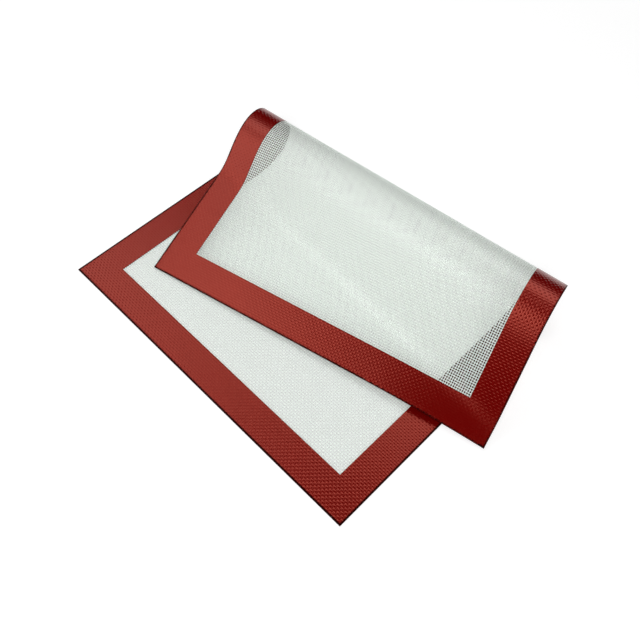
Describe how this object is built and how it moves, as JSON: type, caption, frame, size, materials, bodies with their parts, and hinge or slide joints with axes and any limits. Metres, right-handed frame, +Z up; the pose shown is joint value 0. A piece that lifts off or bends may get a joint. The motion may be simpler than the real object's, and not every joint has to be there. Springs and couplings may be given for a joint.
{
  "type": "baking mat",
  "caption": "Rectangular silicone baking mat: coated glass mesh, a wide red rim band on both sides and a sealed edge, stored folded back over itself in an open loop.",
  "frame": {"origin": "middle of the folded mat's outline, on the surface that it lies on", "axes": "+X along the front edge of the lower leaf, +Y towards the fold, +Z up"},
  "size_m": [0.3286, 0.2384, 0.0641],
  "materials": {
    "glass_mesh": "woven glass yarn, pale, buried in silicone",
    "clear_silicone": "translucent silicone, soft satin",
    "red_silicone": "brick red silicone, satin, with the weave showing through"
  },
  "bodies": {
    "root": {"glass_mesh": "glass_mesh", "face_coat": "clear_silicone", "back_coat": "clear_silicone", "edge_seal": "red_silicone", "face_band": "red_silicone", "back_band": "red_silicone"}
  },
  "joints": []
}
